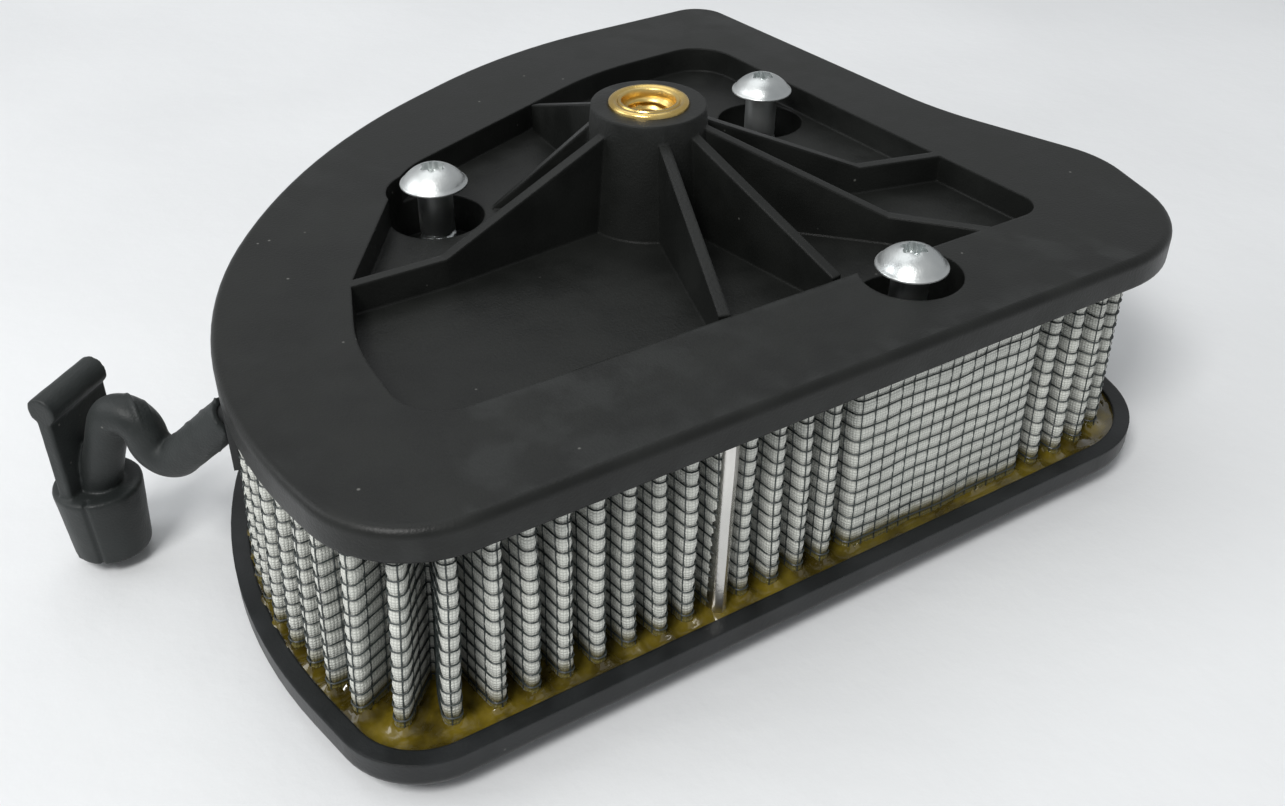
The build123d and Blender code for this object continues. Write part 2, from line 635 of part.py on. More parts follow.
def build_upper_potting():
    """Cured compound under the plate's rim that holds the pleats' heads."""
    ring = slab(grown(plate_shape(), -SKIRT_WALL), MEDIA_TOP, RIM_UNDERSIDE)
    ring -= slab(grown(opening_shape(), PAN_INNER_WALL), MEDIA_TOP - EMBED, RIM_UNDERSIDE + EMBED)
    ring -= slab(grown(recess_shape(), TUB_WALL), MEDIA_TOP - EMBED, RIM_UNDERSIDE + EMBED)
    for place in SCREW_PLACES.values():
        ring -= post(POCKET_RADIUS + TOWER_WALL, MEDIA_TOP - EMBED, RIM_UNDERSIDE + EMBED, place)
    return ring


def build_base_seal():
    """Foam gasket under the pan."""
    outside = grown(pan_shape(), -SEAL_INSET)
    ring = slab(outside, 0, SEAL_THICKNESS) - slab(grown(outside, -SEAL_WIDTH), -EMBED, SEAL_THICKNESS + EMBED)
    return ring - tower_holes(-EMBED, SEAL_THICKNESS + EMBED)


def build_splice_clip(folds):
    """Bright strip folded over the pleat where the pack's two ends meet."""
    tips = [spot for spot in folds if spot[1] < -FRONT_REACH + TIP_BAND]
    near = sorted(tips, key=lambda spot: abs(spot[0] - SPLICE_X))[:2]
    left, right = sorted(near)
    centre = ((left[0] + right[0]) / 2, (left[1] + right[1]) / 2)
    inside = right[0] - left[0] + PACK_THICKNESS + 2 * CLIP_CLEARANCE
    front = PACK_THICKNESS / 2 + CLIP_CLEARANCE
    outside = inside + 2 * CLIP_THICKNESS
    height = SKIRT_BOTTOM - LOWER_POTTING_TOP
    middle = (SKIRT_BOTTOM + LOWER_POTTING_TOP) / 2
    bar = Box(outside, CLIP_THICKNESS + CLIP_RETURN, height)
    core = Pos(0, CLIP_THICKNESS, 0) * Box(inside, CLIP_THICKNESS + CLIP_RETURN, height + EMBED)
    depth = (CLIP_THICKNESS + CLIP_RETURN) / 2
    return Pos(centre[0], centre[1] - front - CLIP_THICKNESS + depth, middle) * (bar - core)


PORT_SPOT, PORT_NORMAL = port_spot()
BOOT_ROOT = (PORT_SPOT[0] + PORT_NORMAL[0] * BOOT_ROOT_OUT, PORT_SPOT[1] + PORT_NORMAL[1] * BOOT_ROOT_OUT)
FOLDS = pleat_corners()
HALF_MEDIA = MEDIA_THICKNESS / 2
HALF_PACK = PACK_THICKNESS / 2

PARTS = {
    "top_plate": build_top_plate(),
    "cover_insert": build_cover_insert(),
    "bottom_pan": build_bottom_pan(),
    "lower_potting": build_lower_potting(),
    "upper_potting": build_upper_potting(),
    "base_seal": build_base_seal(),
    "outer_screen": pack_layer(FOLDS, HALF_MEDIA, HALF_PACK),
    "pleated_media": pack_layer(FOLDS, -HALF_MEDIA, HALF_MEDIA),
    "inner_screen": pack_layer(FOLDS, -HALF_PACK, -HALF_MEDIA),
    "splice_clip": build_splice_clip(FOLDS),
    "breather_port": build_breather_port(),
    "breather_tube": build_breather_tube(),
    "breather_cup": build_breather_cup(),
}
for name, place in SCREW_PLACES.items():
    PARTS[name + "_sleeve"] = build_sleeve(place)
    PARTS[name + "_retainer"] = build_retainer(place)
    PARTS[name + "_screw"] = build_screw(place)

os.makedirs("parts", exist_ok=True)
for name, shape in PARTS.items():
    export_step(shape, os.path.join("parts", name + ".step"))
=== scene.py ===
"""Motorcycle air filter element: its finishes and detailed pieces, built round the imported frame.

Lengths are in metres.
"""

import json
import logging
import math
import random
from dataclasses import dataclass, field
from enum import Enum

import bmesh
import bpy
from mathutils import Matrix, Vector, kdtree, noise


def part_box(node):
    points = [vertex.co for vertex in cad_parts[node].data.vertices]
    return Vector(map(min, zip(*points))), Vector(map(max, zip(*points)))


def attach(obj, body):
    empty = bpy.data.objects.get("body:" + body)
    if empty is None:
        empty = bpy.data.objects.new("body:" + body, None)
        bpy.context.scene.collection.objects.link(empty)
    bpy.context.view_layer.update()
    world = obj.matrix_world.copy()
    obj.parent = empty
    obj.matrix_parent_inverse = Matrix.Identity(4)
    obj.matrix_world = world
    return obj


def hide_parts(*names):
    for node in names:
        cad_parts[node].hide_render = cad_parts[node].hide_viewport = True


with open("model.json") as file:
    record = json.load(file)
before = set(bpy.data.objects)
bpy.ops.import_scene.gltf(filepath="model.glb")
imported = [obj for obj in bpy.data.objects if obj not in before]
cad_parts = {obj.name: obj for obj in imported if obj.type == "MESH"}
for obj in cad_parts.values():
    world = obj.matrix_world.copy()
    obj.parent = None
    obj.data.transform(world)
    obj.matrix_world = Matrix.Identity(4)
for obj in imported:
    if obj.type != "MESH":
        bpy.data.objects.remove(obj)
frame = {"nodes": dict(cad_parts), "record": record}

LOG = logging.getLogger("air_filter")
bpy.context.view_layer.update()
MM = 0.001
ROOT_BODY = "element"
SHARP_ANGLE = math.radians(50)
Point = tuple[float, float]
Colour = tuple[float, float, float]


class Side(Enum):
    """The two faces of a flat CAD solid."""

    BOTTOM = 0
    TOP = 1


class ScrewName(Enum):
    """The three captive screws."""

    LEFT = "left"
    FRONT = "front"
    BACK = "back"


# ---------------------------------------------------------------- shader helpers


class NodeBoard:
    """A short way to add and wire nodes in one shader tree."""

    def __init__(self, tree: bpy.types.NodeTree) -> None:
        """Keeps the tree that the nodes go into."""
        self.tree = tree

    def add(self, kind: str, **settings: object) -> bpy.types.Node:
        """Adds a node.

        Args:
            kind: Blender's name of the node type.
            **settings: Attributes to set on the node.

        Returns:
            The new node.
        """
        node = self.tree.nodes.new(kind)
        for name, value in settings.items():
            setattr(node, name, value)
        return node

    def feed(self, value: object, socket: bpy.types.NodeSocket) -> None:
        """Links a socket to an input, or sets a plain number on it.

        Args:
            value: An output socket, a number or a colour.
            socket: The input that receives it.
        """
        if isinstance(value, bpy.types.NodeSocket):
            self.tree.links.new(value, socket)
        else:
            socket.default_value = value

    def sum(
        self, operation: str, first: object, second: object = 0.0, clamp: bool = False
    ) -> bpy.types.NodeSocket:
        """Adds a Math node.

        Args:
            operation: The arithmetic, such as "MULTIPLY".
            first: The first operand.
            second: The second operand.
            clamp: Whether the result is kept between 0 and 1.

        Returns:
            The result's socket.
        """
        node = self.add("ShaderNodeMath", operation=operation, use_clamp=clamp)
        self.feed(first, node.inputs[0])
        self.feed(second, node.inputs[1])
        return node.outputs[0]

    def spread(
        self, value: object, low: float, high: float, to_low: float = 0.0, to_high: float = 1.0
    ) -> bpy.types.NodeSocket:
        """Maps a range smoothly onto another one.

        Args:
            value: What is mapped.
            low: The value that becomes to_low.
            high: The value that becomes to_high.
            to_low: The first end of the result.
            to_high: The other end of the result.

        Returns:
            The result's socket.
        """
        node = self.add("ShaderNodeMapRange", interpolation_type="SMOOTHSTEP")
        for socket, number in zip(node.inputs, (value, low, high, to_low, to_high)):
            self.feed(number, socket)
        return node.outputs[0]

    def blend(self, share: object, first: object, second: object) -> bpy.types.NodeSocket:
        """Mixes two colours.

        Args:
            share: How much of the second colour shows.
            first: The first colour.
            second: The second colour.

        Returns:
            The mixed colour's socket.
        """
        node = self.add("ShaderNodeMix", data_type="RGBA")
        for index, value in ((0, share), (6, first), (7, second)):
            self.feed((*value, 1.0) if isinstance(value, tuple) else value, node.inputs[index])
        return node.outputs[2]

    def cloud(self, vector: object, scale: object, detail: float = 3.0) -> bpy.types.NodeSocket:
        """Adds noise.

        Args:
            vector: The place that the noise is read at.
            scale: Features per metre.
            detail: The number of finer layers.

        Returns:
            The noise value's socket.
        """
        node = self.add("ShaderNodeTexNoise")
        self.feed(vector, node.inputs["Vector"])
        self.feed(scale, node.inputs["Scale"])
        node.inputs["Detail"].default_value = detail
        return node.outputs[0]


class EffectLibrary:
    """Shader node groups that several finishes share. Each one is built once."""

    def __init__(self) -> None:
        """Builds the groups."""
        self.grain = self._grain()
        self.wear = self._wear()
        self.dust = self._dust()
        self.weave = self._weave()

    @staticmethod
    def _open(name: str, inputs: dict[str, str], outputs: list[str]) -> tuple[NodeBoard, object, object]:
        """Makes an empty group with its named sockets.

        Args:
            name: The group's name.
            inputs: Socket type by input name.
            outputs: The names of the outputs, all floats.

        Returns:
            The board, the group's input node and its output node.
        """
        tree = bpy.data.node_groups.new(name, "ShaderNodeTree")
        for label, kind in inputs.items():
            tree.interface.new_socket(label, in_out="INPUT", socket_type=kind)
        for label in outputs:
            tree.interface.new_socket(label, in_out="OUTPUT", socket_type="NodeSocketFloat")
        board = NodeBoard(tree)
        return board, board.add("NodeGroupInput"), board.add("NodeGroupOutput")

    def _grain(self) -> bpy.types.NodeTree:
        """Fine moulded or cast grain.

        Returns:
            The group, with a Height and a broad Blotch.
        """
        sockets = {"Vector": "NodeSocketVector", "Scale": "NodeSocketFloat"}
        board, start, end = self._open("fine_grain", sockets, ["Height", "Blotch"])
        fine = board.cloud(start.outputs["Vector"], start.outputs["Scale"], 4.0)
        broad = board.cloud(start.outputs["Vector"], board.sum("MULTIPLY", start.outputs["Scale"], 0.04), 3.0)
        board.feed(fine, end.inputs["Height"])
        board.feed(board.spread(broad, 0.3, 0.7), end.inputs["Blotch"])
        return board.tree

    def _wear(self) -> bpy.types.NodeTree:
        """Light rubbing along the outer edges.

        Returns:
            The group, with a Mask.
        """
        sockets = {"Vector": "NodeSocketVector", "Amount": "NodeSocketFloat"}
        board, start, end = self._open("edge_wear", sockets, ["Mask"])
        edge = board.spread(board.add("ShaderNodeNewGeometry").outputs["Pointiness"], 0.51, 0.6)
        patchy = board.spread(board.cloud(start.outputs["Vector"], 160.0, 5.0), 0.4, 0.65)
        both = board.sum("MULTIPLY", edge, patchy)
        board.feed(board.sum("MULTIPLY", both, start.outputs["Amount"], True), end.inputs["Mask"])
        return board.tree

    def _dust(self) -> bpy.types.NodeTree:
        """Scattered specks of dust.

        Returns:
            The group, with a Mask.
        """
        sockets = {"Vector": "NodeSocketVector", "Scale": "NodeSocketFloat", "Amount": "NodeSocketFloat"}
        board, start, end = self._open("dust_specks", sockets, ["Mask"])
        cells = board.add("ShaderNodeTexVoronoi")
        board.feed(start.outputs["Vector"], cells.inputs["Vector"])
        board.feed(start.outputs["Scale"], cells.inputs["Scale"])
        speck = board.spread(cells.outputs["Distance"], 0.16, 0.06)
        chosen = board.add("ShaderNodeSeparateColor")
        board.feed(cells.outputs["Color"], chosen.inputs[0])
        rare = board.sum("LESS_THAN", chosen.outputs[0], start.outputs["Amount"])
        board.feed(board.sum("MULTIPLY", speck, rare), end.inputs["Mask"])
        return board.tree

    def _weave(self) -> bpy.types.NodeTree:
        """Plain weave from the distance along the cloth and up it.

        Returns:
            The group, with a Height and the dark Gaps.
        """
        sockets = {"Along": "NodeSocketFloat", "Up": "NodeSocketFloat", "Pitch": "NodeSocketFloat"}
        board, start, end = self._open("plain_weave", sockets, ["Height", "Gaps"])
        turns = [
            board.sum("MULTIPLY", board.sum("DIVIDE", start.outputs[name], start.outputs["Pitch"]), math.pi)
            for name in ("Along", "Up")
        ]
        waves = [board.sum("ABSOLUTE", board.sum("SINE", turn)) for turn in turns]
        height = board.sum("MULTIPLY", waves[0], waves[1])
        board.feed(height, end.inputs["Height"])
        board.feed(board.spread(height, 0.25, 0.02), end.inputs["Gaps"])
        return board.tree


EFFECTS = EffectLibrary()


@dataclass(frozen=True)
class Finish:
    """A surface with grain, mottling, rubbed edges and dust.

    Scales are features per metre and depths are metres.
    """

    name: str
    colour: Colour
    second_colour: Colour
    roughness: float
    rough_spread: float = 0.1
    metallic: float = 0.0
    specular: float = 0.5
    grain_scale: float = 2600.0
    grain_depth: float = 0.00004
    wear: float = 0.0
    wear_colour: Colour = (0.12, 0.12, 0.12)
    dust: float = 0.0
    dust_scale: float = 420.0
    dust_colour: Colour = (0.32, 0.32, 0.3)
    coat: float = 0.0
    coat_roughness: float = 0.1
    edge_round: float = 0.0
    sheen: float = 0.0

    def material(self) -> bpy.types.Material:
        """Builds the material.

        Returns:
            The new material.
        """
        material = bpy.data.materials.new(self.name)
        material.use_nodes = True
        board = NodeBoard(material.node_tree)
        shader = material.node_tree.nodes["Principled BSDF"]
        place = board.add("ShaderNodeTexCoord").outputs["Object"]
        grain = board.add("ShaderNodeGroup", node_tree=EFFECTS.grain)
        board.feed(place, grain.inputs["Vector"])
        grain.inputs["Scale"].default_value = self.grain_scale
        colour, rough, height = self.surface(board, place, grain)
        colour = self._aged(board, place, colour)
        board.feed(colour, shader.inputs["Base Color"])
        board.feed(rough, shader.inputs["Roughness"])
        shader.inputs["Metallic"].default_value = self.metallic
        shader.inputs["Specular IOR Level"].default_value = self.specular
        shader.inputs["Coat Weight"].default_value = self.coat
        shader.inputs["Coat Roughness"].default_value = self.coat_roughness
        shader.inputs["Sheen Weight"].default_value = self.sheen
        bump = board.add("ShaderNodeBump")
        bump.inputs["Distance"].default_value = self.grain_depth
        board.feed(height, bump.inputs["Height"])
        if self.edge_round > 0:
            bevel = board.add("ShaderNodeBevel", samples=4)
            bevel.inputs["Radius"].default_value = self.edge_round
            board.feed(bevel.outputs[0], bump.inputs["Normal"])
        board.feed(bump.outputs[0], shader.inputs["Normal"])
        return material

    def surface(
        self, board: NodeBoard, place: object, grain: bpy.types.Node
    ) -> tuple[object, object, object]:
        """The clean surface.

        Args:
            board: The material's board.
            place: The socket with the object's coordinates, not used here.
            grain: The grain group.

        Returns:
            Sockets of the colour, the roughness and the bump's height.
        """
        colour = board.blend(grain.outputs["Blotch"], self.colour, self.second_colour)
        low, high = self.roughness - self.rough_spread / 2, self.roughness + self.rough_spread / 2
        rough = board.spread(grain.outputs["Blotch"], 0.0, 1.0, low, high)
        return colour, rough, grain.outputs["Height"]

    def _aged(self, board: NodeBoard, place: object, colour: object) -> object:
        """Adds rubbed edges and dust to a colour.

        Args:
            board: The material's board.
            place: The socket with the object's coordinates.
            colour: The clean colour's socket.

        Returns:
            The aged colour's socket.
        """
        if self.wear > 0:
            wear = board.add("ShaderNodeGroup", node_tree=EFFECTS.wear)
            board.feed(place, wear.inputs["Vector"])
            wear.inputs["Amount"].default_value = self.wear
            colour = board.blend(wear.outputs["Mask"], colour, self.wear_colour)
        if self.dust > 0:
            dust = board.add("ShaderNodeGroup", node_tree=EFFECTS.dust)
            board.feed(place, dust.inputs["Vector"])
            dust.inputs["Scale"].default_value = self.dust_scale
            dust.inputs["Amount"].default_value = self.dust
            colour = board.blend(dust.outputs["Mask"], colour, self.dust_colour)
        return colour


@dataclass(frozen=True)
class GauzeFinish(Finish):
    """White woven gauze, soaked with compound at its foot, with painted shade that darkens it towards the
    pleats' valleys.
    """

    soaked: Colour = (0.15, 0.125, 0.022)
    # Colour of the painted shade in the pleats' valleys, and how strongly it is painted.
    valley_shade_colour: Colour = (0.1, 0.105, 0.1)
    shade: float = 0.75
    thread_pitch: float = 0.0005
    soak_low: float = 0.0078
    soak_high: float = 0.0106

    def surface(
        self, board: NodeBoard, place: object, grain: bpy.types.Node
    ) -> tuple[object, object, object]:
        """The woven surface.

        Args:
            board: The material's board.
            place: The socket with the object's coordinates.
            grain: The grain group.

        Returns:
            Sockets of the colour, the roughness and the bump's height.
        """
        split = board.add("ShaderNodeSeparateXYZ")
        board.feed(place, split.inputs[0])
        run = board.add("ShaderNodeAttribute", attribute_name="run")
        weave = board.add("ShaderNodeGroup", node_tree=EFFECTS.weave)
        board.feed(run.outputs["Fac"], weave.inputs["Along"])
        board.feed(split.outputs[2], weave.inputs["Up"])
        weave.inputs["Pitch"].default_value = self.thread_pitch
        threads = board.blend(weave.outputs["Gaps"], self.colour, self.second_colour)
        clean = board.blend(board.sum("MULTIPLY", grain.outputs["Blotch"], 0.3), threads, self.second_colour)
        # Painted shade: the gauze darkens towards the pleats' valleys, where the depth attribute nears 1.
        depth = board.add("ShaderNodeAttribute", attribute_name="depth")
        clean = board.blend(board.sum("MULTIPLY", depth.outputs["Fac"], self.shade), clean, self.valley_shade_colour)
        ragged = board.sum("MULTIPLY", board.cloud(place, 500.0), 0.0022)
        level = board.sum("SUBTRACT", split.outputs[2], ragged)
        wet = board.spread(level, self.soak_high - 0.001, self.soak_low - 0.001)
        colour = board.blend(wet, clean, self.soaked)
        rough = board.spread(wet, 0.0, 1.0, self.roughness, 0.22)
        return colour, rough, weave.outputs["Height"]


@dataclass(frozen=True)
class PottingFinish(Finish):
    """Glossy amber compound, with streaks of a deeper colour."""

    deep: Colour = (0.045, 0.032, 0.003)
    streak_scale: float = 170.0
    wave_scale: float = 420.0
    fine_share: float = 0.1

    def surface(
        self, board: NodeBoard, place: object, grain: bpy.types.Node
    ) -> tuple[object, object, object]:
        """The cured surface.

        Args:
            board: The material's board.
            place: The socket with the object's coordinates.
            grain: The grain group.

        Returns:
            Sockets of the colour, the roughness and the bump's height.
        """
        streaks = board.spread(board.cloud(place, self.streak_scale, 5.0), 0.35, 0.68)
        cloudy = board.blend(grain.outputs["Blotch"], self.colour, self.second_colour)
        colour = board.blend(streaks, self.deep, cloudy)
        fine = board.sum("MULTIPLY", grain.outputs["Height"], self.fine_share)
        height = board.sum("ADD", board.cloud(place, self.wave_scale, 2.0), fine)
        roughest = self.roughness + self.rough_spread
        rough = board.spread(grain.outputs["Blotch"], 0.0, 1.0, self.roughness, roughest)
        return colour, rough, height


class Finishes:
    """Every finish of the element, as Blender materials."""

    def __init__(self) -> None:
        """Builds the materials."""
        self.plate = Finish(
            "moulded_nylon", (0.0085, 0.0092, 0.0084), (0.0135, 0.0145, 0.0132), 0.42, 0.1, specular=0.3,
            grain_scale=2300.0, grain_depth=0.00005, wear=0.5, wear_colour=(0.03, 0.032, 0.031),
            dust=0.02, dust_scale=520.0, dust_colour=(0.13, 0.13, 0.12), edge_round=0.0006,
        ).material()
        self.pan = Finish(
            "moulded_nylon_pan", (0.009, 0.01, 0.0103), (0.0155, 0.0175, 0.0185), 0.4, 0.12, specular=0.36,
            grain_scale=1900.0, grain_depth=0.00004, wear=0.4, wear_colour=(0.032, 0.034, 0.036),
            dust=0.03, dust_scale=520.0, dust_colour=(0.13, 0.13, 0.12), edge_round=0.0005,
        ).material()
        self.port = Finish(
            "port_nylon", (0.012, 0.013, 0.013), (0.02, 0.021, 0.021), 0.45, edge_round=0.0004, dust=0.04,
        ).material()
        self.retainer = Finish(
            "retainer_nylon", (0.62, 0.62, 0.58), (0.72, 0.72, 0.69), 0.42,
            grain_depth=0.00003, edge_round=0.0002,
        ).material()
        self.brass = Finish(
            "turned_brass", (0.66, 0.45, 0.13), (0.82, 0.6, 0.22), 0.28, 0.14, metallic=1.0,
            grain_scale=3800.0, grain_depth=0.00002, wear=0.4, wear_colour=(0.95, 0.8, 0.45),
        ).material()
        self.zinc = Finish(
            "zinc_steel", (0.58, 0.61, 0.61), (0.76, 0.78, 0.77), 0.36, 0.14, metallic=1.0,
            grain_scale=3000.0, grain_depth=0.00003, wear=0.3, wear_colour=(0.9, 0.92, 0.92),
        ).material()
        self.clip = Finish(
            "bright_steel", (0.66, 0.65, 0.62), (0.82, 0.8, 0.76), 0.3, 0.14, metallic=1.0,
            grain_scale=1600.0,
            grain_depth=0.00004,
        ).material()
        self.wire = Finish(
            "coated_wire", (0.018, 0.024, 0.023), (0.04, 0.05, 0.048), 0.4, 0.14, grain_scale=3000.0,
            grain_depth=0.00005, dust=0.03, dust_scale=900.0,
        ).material()
        self.gauze = GauzeFinish(
            "gauze", (0.78, 0.79, 0.73), (0.46, 0.47, 0.43), 0.85,
            grain_scale=5200.0, grain_depth=0.00012, sheen=0.2,
        ).material()
        self.potting = PottingFinish(
            "amber_potting", (0.2, 0.145, 0.013), (0.11, 0.085, 0.01), 0.1, 0.08, grain_scale=1500.0,
            grain_depth=0.0002, coat=1.0, coat_roughness=0.03, dust=0.01,
        ).material()
        self.rubber = Finish(
            "boot_rubber", (0.014, 0.017, 0.0165), (0.025, 0.029, 0.0285), 0.5, 0.14, specular=0.34,
            grain_scale=2600.0, grain_depth=0.00007, wear=0.35, wear_colour=(0.05, 0.055, 0.054),
            dust=0.04, dust_scale=600.0, dust_colour=(0.14, 0.14, 0.13), sheen=0.05,
        ).material()
        self.foam = Finish(
            "foam", (0.014, 0.014, 0.014), (0.03, 0.03, 0.03), 0.9,
            grain_scale=1500.0, grain_depth=0.0003, dust=0.04,
        ).material()


# ---------------------------------------------------------------- mesh helpers


def add_piece(
    name: str, points: list, faces: list, material: bpy.types.Material, body: str = ROOT_BODY
) -> bpy.types.Object:
    """Makes a smooth-shaded piece that rides on a body.

    Args:
        name: The piece's name.
        points: Its points.
        faces: Its faces, as lists of point numbers.
        material: Its finish.
        body: The CAD body that it rides on.

    Returns:
        The new object.
    """
    mesh = bpy.data.meshes.new(name)
    mesh.from_pydata(points, [], faces)
    mesh.validate()
    mesh.materials.append(material)
    mesh.polygons.foreach_set("use_smooth", [True] * len(mesh.polygons))
    mesh.set_sharp_from_angle(angle=SHARP_ANGLE)
    piece = bpy.data.objects.new(name, mesh)
    bpy.context.scene.collection.objects.link(piece)
    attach(piece, body)
    LOG.info("piece %s: %d faces on %s", name, len(mesh.polygons), body)
    return piece


def grid_faces(rows: int, columns: int, closed: bool = True) -> list[tuple[int, int, int, int]]:
    """Faces of rows of points, each row going once round.

    Args:
        rows: The number of rows.
        columns: The number of points in a row.
        closed: Whether the last point of a row joins its first one.

    Returns:
        The faces.
    """
    last = columns if closed else columns - 1
    faces = []
    for row in range(rows - 1):
        for column in range(last):
            after = (column + 1) % columns
            low, high = row * columns, (row + 1) * columns
            faces.append((low + column, low + after, high + after, high + column))
    return faces


def loops_of(node: str, side: Side) -> list[list[Point]]:
    """Outlines of the flat bottom or top of a CAD solid, the longest one first, anticlockwise.

    Args:
        node: The CAD node.
        side: Which face is read.

    Returns:
        Closed loops of points.
    """
    mesh = frame["nodes"][node].data
    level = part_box(node)[side.value].z
    places, steps = {}, {}
    for polygon in mesh.polygons:
        spots = [mesh.vertices[i].co for i in polygon.vertices]
        if any(abs(spot.z - level) > 0.00002 for spot in spots):
            continue
        keys = [(round(spot.x * 200000), round(spot.y * 200000)) for spot in spots]
        places.update({key: (spot.x, spot.y) for key, spot in zip(keys, spots)})
        for first, second in zip(keys, keys[1:] + keys[:1]):
            if steps.get(second) and first in steps[second]:
                steps[second].remove(first)
            else:
                steps.setdefault(first, []).append(second)
    loops = []
    starts = [key for key, nexts in steps.items() if nexts]
    for start in starts:
        loop, here = [], start
        while steps.get(here):
            loop.append(places[here])
            here = steps[here].pop()
        if len(loop) > 2:
            loops.append(loop if area_of(loop) > 0 else loop[::-1])
    return sorted(loops, key=lambda loop: -abs(area_of(loop)))


def area_of(loop: list[Point]) -> float:
    """The signed area inside a loop."""
    total = 0.0
    for (ax, ay), (bx, by) in zip(loop, loop[1:] + loop[:1]):
        total += ax * by - bx * ay
    return total / 2


def spaced(loop: list[Point], step: float) -> list[Point]:
    """Points along a closed loop at an even distance.

    Args:
        loop: The loop's corners.
        step: The distance between points.

    Returns:
        The points.
    """
    sides = list(zip(loop, loop[1:] + loop[:1]))
    total = sum(math.dist(a, b) for a, b in sides)
    count = max(8, round(total / step))
    result, passed, target = [], 0.0, 0.0
    for a, b in sides:
        length = math.dist(a, b)
        while len(result) < count and target <= passed + length and length > 0:
            share = (target - passed) / length
            result.append((a[0] + (b[0] - a[0]) * share, a[1] + (b[1] - a[1]) * share))
            target += total / count
        passed += length
    return result


def tree_of(points: list[Point]) -> kdtree.KDTree:
    """A search tree of flat points."""
    tree = kdtree.KDTree(len(points))
    for index, (x, y) in enumerate(points):
        tree.insert((x, y, 0.0), index)
    tree.balance()
    return tree


def inside(loop: list[Point], x: float, y: float) -> bool:
    """Whether a place lies inside a loop."""
    odd = False
    for (ax, ay), (bx, by) in zip(loop, loop[1:] + loop[:1]):
        if (ay > y) != (by > y) and x < (bx - ax) * (y - ay) / (by - ay) + ax:
            odd = not odd
    return odd


# ---------------------------------------------------------------- sub-assemblies


